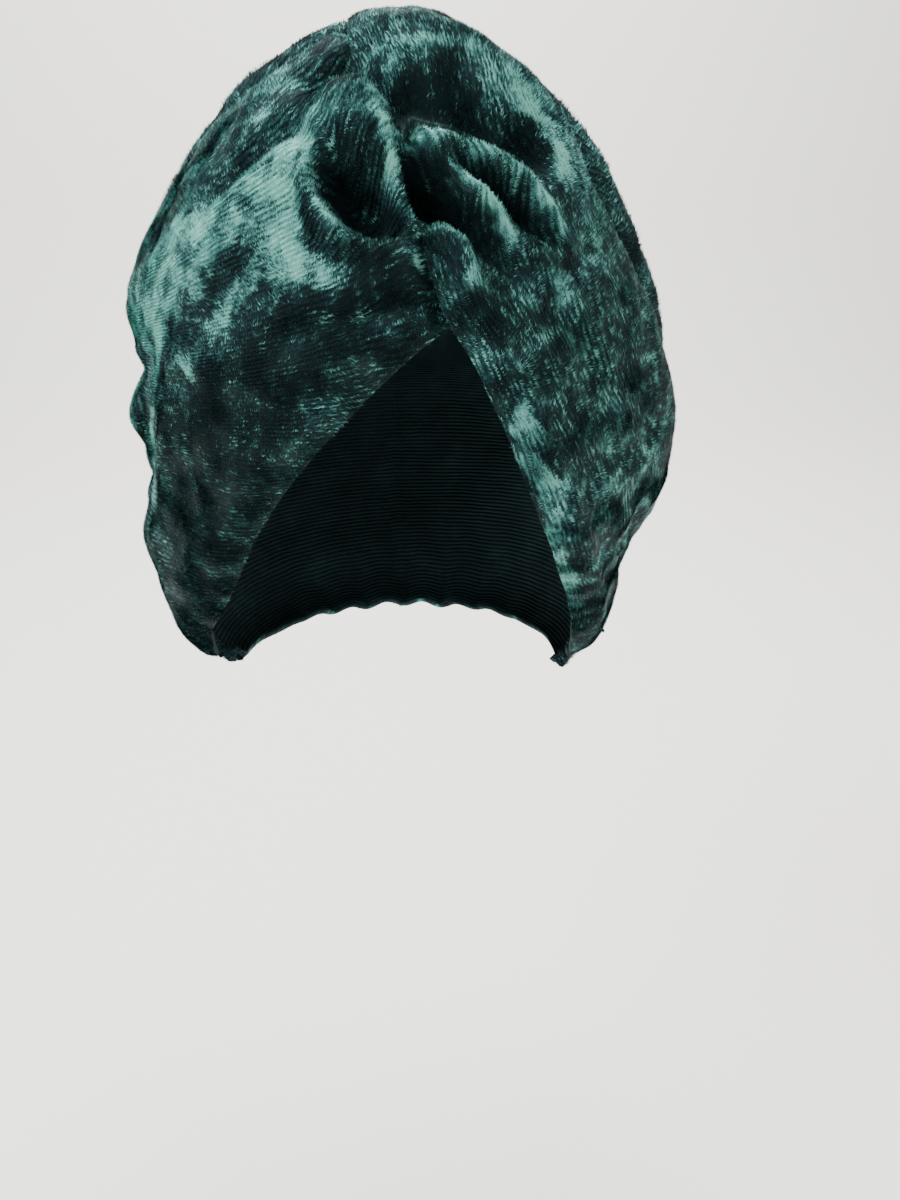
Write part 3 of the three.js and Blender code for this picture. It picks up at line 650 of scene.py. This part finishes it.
def makeCloth(name, spec):
    bm = bmesh.new()
    bmesh.ops.create_grid(bm, x_segments=spec["columns"], y_segments=spec["rows"], size=0.5)
    mesh = meshFrom(bm, name)
    flat = readValues(mesh.vertices, "co", 3) + 0.5
    u, v = np.clip(flat[:, 0], 0, 1), np.clip(flat[:, 1], 0, 1)
    dirs = spec["directions"](u + spec["crowding"] * np.sin(math.pi * u) / math.pi, v)
    courses = courseCoordinates(spec, dirs, u, v)
    radius = spec["radius"](dirs) + crumpleAt(dirs)
    place = dirs * radius[:, None] - np.array([0, 0, form["crown"]])
    mesh.vertices.foreach_set("co", (place / 1000).ravel())
    mesh.update()
    # the painted highlights and painted shade, with the crushed patches, go on the cloth as an attribute
    layValues(mesh, "paintedLightAndCrush", crushWithPaintedLight(name, dirs))
    corner = readValues(mesh.loops, "vertex_index", 1, int)[:, 0]
    mesh.uv_layers.new(name="courses").data.foreach_set("uv", courses[corner].ravel())
    mesh.shade_smooth()
    cloth = addObject(name, mesh)
    wall = cloth.modifiers.new("wall", "SOLIDIFY")
    wall.thickness = form["wall"] / 1000
    wall.offset = -1
    wall.material_offset = 1        # the inside takes the second material, the plain knit back
    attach(cloth, "root")
    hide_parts(spec["replaces"])
    print(name, "area", round(sum(p.area for p in mesh.polygons), 4))
    return cloth


velvetLook = {
    "roughness": 0.75, "specular": 0.03,
    "sheen": 0.04, "sheenRoughness": 0.35, "sheenTint": (0.3, 0.8, 0.72, 1),
    "crush": {"Scale": 75, "Detail": 3, "Roughness": 0.6, "Distortion": 1.4},
    "fineCrush": {"Scale": 260, "Detail": 3, "Roughness": 0.6, "Distortion": 0.8},
    "strokes": {"Scale": 1, "Detail": 2, "Roughness": 0.65, "Distortion": 0.6},
    "strokesPerMetre": (330, 1500, 1),      # along and across the courses
    "course": 0.00155,                      # spacing of the knit's courses, in metres
    "wobble": 0.0012,                       # how far the ribs wander from them
    # In the levels, pile is the attribute with the painted highlights and painted shade, and the crushed
    # patches
    "levels": {                             # weight and offset of each pattern in the colour
        "pile": (0.9, 0.26), "crush": (0.1, -0.05), "fineCrush": (0.6, -0.3), "strokes": (0.9, -0.45),
        "ribs": (0.09, 0)},
    "relief": {"strokes": (0.6, 0), "fineCrush": (0.8, 0), "crush": (0.2, 0), "ribs": (0.3, 0)},
    "bump": (0.8, 0.001),                   # strength, and depth in metres
    "ramp": [
        (0.0, (0.006, 0.013, 0.015)), (0.36, (0.012, 0.030, 0.032)), (0.57, (0.027, 0.082, 0.079)),
        (0.78, (0.08, 0.25, 0.225)), (1.0, (0.21, 0.54, 0.465))],
}
# The side without pile: plain rows of the knit, with loops along X and Y of the courses
backLook = {
    "roughness": 0.85, "specular": 0.15,
    "mottle": {"Scale": 60, "Detail": 4},
    "loops": {"X": 0.0014, "Y": 0.00155},
    "levels": {"mottle": (0.5, 0.05), "X": (0.03, 0), "Y": (0.035, 0)},
    "relief": {"X": (0.3, 0), "Y": (1, 0)},
    "bump": (0.5, 0.0004),
}


def addNode(tree, kind, inputs=None, **settings):
    node = tree.nodes.new(kind)
    for name, value in settings.items():
        setattr(node, name, value)
    for name, value in (inputs or {}).items():
        if isinstance(value, bpy.types.NodeSocket):
            tree.links.new(value, node.inputs[name])
        else:
            node.inputs[name].default_value = value
    return node


def newFinish(name, roughness, specular=0.5):
    material = bpy.data.materials.new(name)
    material.use_nodes = True
    shader = material.node_tree.nodes["Principled BSDF"]
    shader.inputs["Roughness"].default_value = roughness
    shader.inputs["Specular IOR Level"].default_value = specular
    return material, material.node_tree, shader


def weighed(tree, value, scale, offset=0.0):
    # value * scale + offset
    node = addNode(tree, "ShaderNodeMath", {0: value, 1: scale, 2: offset}, operation="MULTIPLY_ADD")
    return node.outputs[0]


def added(tree, *values):
    total = values[0]
    for value in values[1:]:
        total = addNode(tree, "ShaderNodeMath", {0: total, 1: value}, operation="ADD").outputs[0]
    return total


def summed(tree, patterns, weights):
    return added(tree, *[weighed(tree, patterns[name], *weight) for name, weight in weights.items()])


def waves(tree, value, spacing):
    turn = weighed(tree, value, 2 * math.pi / spacing)
    return addNode(tree, "ShaderNodeMath", {0: turn}, operation="SINE").outputs[0]


def noiseOf(tree, place, settings):
    return addNode(tree, "ShaderNodeTexNoise", {"Vector": place, **settings}).outputs["Fac"]


def tealRamp(tree, level):
    ramp = addNode(tree, "ShaderNodeValToRGB", {"Fac": level})
    stops = ramp.color_ramp.elements
    while len(stops) < len(velvetLook["ramp"]):
        stops.new(0.5)
    for stop, (position, color) in zip(stops, velvetLook["ramp"]):
        stop.position = position
        stop.color = (*color, 1)
    return ramp.outputs["Color"]


def colorAndBump(tree, shader, patterns, look):
    level = summed(tree, patterns, look["levels"])
    tree.links.new(tealRamp(tree, level), shader.inputs["Base Color"])
    strength, depth = look["bump"]
    relief = summed(tree, patterns, look["relief"])
    bump = addNode(tree, "ShaderNodeBump", {"Height": relief, "Strength": strength, "Distance": depth})
    tree.links.new(bump.outputs["Normal"], shader.inputs["Normal"])


def velvet():
    look = velvetLook
    material, tree, shader = newFinish("crushedVelvet", look["roughness"], look["specular"])
    shader.inputs["Sheen Weight"].default_value = look["sheen"]
    shader.inputs["Sheen Roughness"].default_value = look["sheenRoughness"]
    shader.inputs["Sheen Tint"].default_value = look["sheenTint"]
    place = addNode(tree, "ShaderNodeTexCoord").outputs["Object"]
    courses = addNode(tree, "ShaderNodeUVMap", uv_map="courses").outputs[0]
    patterns = {name: noiseOf(tree, place, look[name]) for name in ("crush", "fineCrush")}
    # the painted highlights and painted shade, with the crushed patches, read from the attribute
    patterns["pile"] = addNode(tree, "ShaderNodeAttribute", attribute_name="paintedLightAndCrush").outputs["Fac"]
    stretched = addNode(tree, "ShaderNodeMapping", {"Vector": courses, "Scale": look["strokesPerMetre"]})
    patterns["strokes"] = noiseOf(tree, stretched.outputs[0], look["strokes"])
    row = addNode(tree, "ShaderNodeSeparateXYZ", {"Vector": courses}).outputs["Y"]
    wandering = added(tree, row, weighed(tree, patterns["fineCrush"], look["wobble"]))
    patterns["ribs"] = waves(tree, wandering, look["course"])
    colorAndBump(tree, shader, patterns, look)
    return material


def knitBack():
    look = backLook
    material, tree, shader = newFinish("knitBack", look["roughness"], look["specular"])
    courses = addNode(tree, "ShaderNodeUVMap", uv_map="courses").outputs[0]
    apart = addNode(tree, "ShaderNodeSeparateXYZ", {"Vector": courses})
    place = addNode(tree, "ShaderNodeTexCoord").outputs["Object"]
    patterns = {axis: waves(tree, apart.outputs[axis], spacing) for axis, spacing in look["loops"].items()}
    patterns["mottle"] = noiseOf(tree, place, look["mottle"])
    colorAndBump(tree, shader, patterns, look)
    return material


# The pile: three flat tufts doubled until there are enough, then each stood on the cloth
pile = {
    "doublings": 16, "seed": 11,
    "nap": -1.2, "swirl": (0.016, 2.2),     # which way it is brushed, and how patches of it turn
    "raggedness": 0.35,
    "lean": 0.95, "crush": (0.009, 0.9), "crushStart": 5, "leanSpread": 0.5, "leanLimits": (0.1, 1.45),
    "lengths": (0.7, 1.15), "widths": (0.35, 0.65),
    "rowLength": 0.25, "rowWave": (0.5, 0.012), "rowStart": 2,
    "dashes": (0.0026, 0.0007, 0.85),       # length, width and strength of glints along the courses
    "rows": 0.18, "scatter": 0.12, "base": 0.33,
    "glints": (0.04, 0.4),                  # share of tufts that catch the light, and how much
    "onMap": [(0.1, 0.1), (0.9, 0.1), (0.5, 0.9)],
    # tipLightRootShade: painted shade down in the pile, roots drawn darker and tips lighter along each tuft
    "roughness": 0.5, "specular": 0.1, "specularTint": (0.5, 0.95, 0.87, 1), "tipLightRootShade": (0.22, -0.08),
}


def smoothNoise(places, size):
    return noiseAt(places / size)


def onQuad(corners, s, t):
    return mix(mix(corners[:, 0], corners[:, 1], s), mix(corners[:, 3], corners[:, 2], s), t)


def blankTufts(name):
    bm = bmesh.new()
    for _ in range(3):
        bmesh.ops.create_circle(bm, segments=3, radius=0.001, cap_ends=True)
    for _ in range(pile["doublings"]):
        bmesh.ops.duplicate(bm, geom=bm.verts[:] + bm.edges[:] + bm.faces[:])
    return meshFrom(bm, name)


# Each tuft's colour level: the cloth's painted highlight and shade, painted glints as dashes along the
# courses and on a share of tufts, the rows and random scatter
def tuftShade(random, course, rows, lit):
    dashLong, dashWide, dashStrength = pile["dashes"]
    share, glint = pile["glints"]
    count = len(rows)
    along = np.stack([course[:, 0] / dashLong, course[:, 1] / dashWide, np.zeros(count)], -1)
    shade = pile["base"] + lit
    shade += (dashStrength * smoothNoise(along, 1) + pile["rows"] * rows
              + pile["scatter"] * random.normal(size=count))
    return shade + glint * (random.random(count) < share)


def mapTufts(mesh, count):
    # one small square of the map for each tuft, so that each keeps its own colour when baked
    side = math.ceil(math.sqrt(count))
    square = np.stack([np.arange(count) % side, np.arange(count) // side], -1)[:, None]
    places = (square + np.array(pile["onMap"])) / side
    mesh.uv_layers.new(name="OFBake").data.foreach_set("uv", places.ravel())


def makePile(name, cloth, material):
    mesh = blankTufts(name)
    count = len(mesh.polygons)
    base = cloth.data
    ring = readValues(base.polygons, "vertices", 4, int)
    quads = readValues(base.vertices, "co", 3)[ring]
    across = np.cross(quads[:, 2] - quads[:, 0], quads[:, 3] - quads[:, 1])
    area = np.linalg.norm(across, axis=1)
    random = np.random.default_rng(pile["seed"])
    chosen = np.sort(random.choice(len(quads), count, p=area / area.sum()))
    s, t = random.random((2, count, 1))
    root = onQuad(quads[chosen], s, t)
    up = unit(across)[chosen]
    level = unit(np.cross(np.array([0, 0, 1.0]), up))
    fall = np.cross(level, up)
    size, turnBy = pile["swirl"]
    angle = pile["nap"] + turnBy * smoothNoise(root, size) + pile["raggedness"] * random.normal(size=count)
    size, bend = pile["crush"]
    lean = pile["lean"] + bend * smoothNoise(root + pile["crushStart"], size)
    lean += pile["leanSpread"] * pile["raggedness"] * random.normal(size=count)
    lean = np.clip(lean, *pile["leanLimits"])[:, None]
    way = level * np.cos(angle)[:, None] + fall * np.sin(angle)[:, None]
    side = np.cross(way, up)
    courses = readValues(base.uv_layers["courses"].data, "uv", 2).reshape(-1, 4, 2)
    course = onQuad(courses[chosen], s, t)
    wave, size = pile["rowWave"]
    rowPlace = course[:, 1] / velvetLook["course"] + wave * smoothNoise(root + pile["rowStart"], size)
    rows = np.cos(2 * math.pi * rowPlace)
    tuftLength, tuftWidth = pieces[cloth.name]["tuft"]
    length = tuftLength * (1 + pile["rowLength"] * rows) * random.uniform(*pile["lengths"], count)
    half = side * tuftWidth * random.uniform(*pile["widths"], (count, 1))
    tip = root + (up * np.cos(lean) + way * np.sin(lean)) * length[:, None]
    three = readValues(mesh.polygons, "vertices", 3, int).ravel()
    tufts = np.empty((count * 3, 3))
    tufts[three] = np.stack([root - half, root + half, tip], 1).reshape(-1, 3)
    mesh.vertices.foreach_set("co", tufts.ravel())
    mesh.update()
    # each tuft takes the painted highlight and shade of the cloth under it
    lit = readValues(base.attributes["paintedLightAndCrush"].data, "value", 1)[ring][chosen]
    shade = tuftShade(random, course, rows, onQuad(lit, s, t)[:, 0])
    for attribute, value in (("paintedLightAndCrush", np.repeat(shade, 3)), ("tip", np.tile([0.0, 0.0, 1.0], count))):
        spread = np.empty(count * 3)
        spread[three] = value
        layValues(mesh, attribute, spread)
    mapTufts(mesh, count)
    mesh.materials.append(material)
    tuftsOn = addObject(name, mesh)
    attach(tuftsOn, "root")
    return tuftsOn


def pileFinish():
    material, tree, shader = newFinish("velvetPile", pile["roughness"], pile["specular"])
    shader.inputs["Specular Tint"].default_value = pile["specularTint"]
    lit = addNode(tree, "ShaderNodeAttribute", attribute_name="paintedLightAndCrush").outputs["Fac"]
    tip = addNode(tree, "ShaderNodeAttribute", attribute_name="tip").outputs["Fac"]
    # painted shade: darker at the roots, lighter at the tips
    level = added(tree, lit, weighed(tree, tip, *pile["tipLightRootShade"]))
    tree.links.new(tealRamp(tree, level), shader.inputs["Base Color"])
    return material


cloths = {name: makeCloth(name, spec) for name, spec in pieces.items()}
velvetFinish = velvet()
backFinish = knitBack()
tuftFinish = pileFinish()
piles = {name: makePile(name + "Pile", cloth, tuftFinish) for name, cloth in cloths.items()}
print("pile made")
for name, cloth in cloths.items():
    cloth.data.materials.append(velvetFinish)
    cloth.data.materials.append(backFinish)
print("cloth made")

# Floor and backdrop in one sweep, in metres
studio = {
    "floor": -0.62, "width": 3.0, "front": -1.5, "reach": 1.6, "bend": 0.5, "bendSteps": 12, "top": 2.5,
    "pale": (0.95, 0.935, 0.915, 1), "roughness": 0.9,
}
lamps = {
    "window": {
        "place": (-0.9, -0.35, 0.75), "aim": (0, 0, -0.11), "power": 20, "size": 0.6,
        "color": (0.95, 0.98, 1.0)},
    "room": {
        "place": (0.9, -0.9, 0.5), "aim": (0, 0, -0.11), "power": 7, "size": 0.9,
        "color": (1.0, 0.96, 0.9)},
    "wash": {
        "place": (0.0, 0.6, 1.6), "aim": (0, 1.2, -0.3), "power": 100, "size": 1.5,
        "color": (1.0, 0.98, 0.95)},
}
sky = {"color": (0.92, 0.94, 0.96, 1), "strength": 0.75}
view = {"lens": 27, "sensor": 36, "place": (-0.0244, -0.3281, -0.0394), "down": 25.8, "turn": -6.8}


def makeBackdrop():
    bm = bmesh.new()
    profile = [(studio["front"], 0)]
    for i in range(studio["bendSteps"] + 1):
        angle = math.radians(90 * i / studio["bendSteps"])
        y = studio["reach"] + studio["bend"] * math.sin(angle)
        profile.append((y, studio["bend"] * (1 - math.cos(angle))))
    profile.append((studio["reach"] + studio["bend"], studio["top"]))
    row = [bm.verts.new((-studio["width"], y, studio["floor"] + z)) for y, z in profile]
    line = [bm.edges.new(pair) for pair in zip(row, row[1:])]
    sweep = bmesh.ops.extrude_edge_only(bm, edges=line)
    moved = [item for item in sweep["geom"] if isinstance(item, bmesh.types.BMVert)]
    bmesh.ops.translate(bm, vec=(2 * studio["width"], 0, 0), verts=moved)
    mesh = meshFrom(bm, "backdrop")
    mesh.shade_smooth()
    backdrop = addObject("backdrop", mesh)
    paper, _, shader = newFinish("palePaper", studio["roughness"])
    shader.inputs["Base Color"].default_value = studio["pale"]
    mesh.materials.append(paper)


def makeLamp(name, spec):
    data = bpy.data.lights.new(name, "AREA")
    data.energy, data.size, data.color = spec["power"], spec["size"], spec["color"]
    lamp = addObject(name, data)
    lamp.location = spec["place"]
    aim = Vector(spec["aim"]) - Vector(spec["place"])
    lamp.rotation_euler = aim.to_track_quat("-Z", "Y").to_euler()


def makeSky():
    world = bpy.data.worlds.new("studio")
    bpy.context.scene.world = world
    world.use_nodes = True
    background = world.node_tree.nodes["Background"]
    background.inputs["Color"].default_value = sky["color"]
    background.inputs["Strength"].default_value = sky["strength"]


def makeCamera():
    lens = bpy.data.cameras.new("camera")
    lens.lens = view["lens"]
    lens.sensor_width = view["sensor"]
    camera = addObject("camera", lens)
    camera.location = view["place"]
    camera.rotation_euler = (math.radians(90 - view["down"]), 0, math.radians(view["turn"]))
    bpy.context.scene.camera = camera


makeBackdrop()
for name, spec in lamps.items():
    makeLamp(name, spec)
makeSky()
makeCamera()
print("stage set")
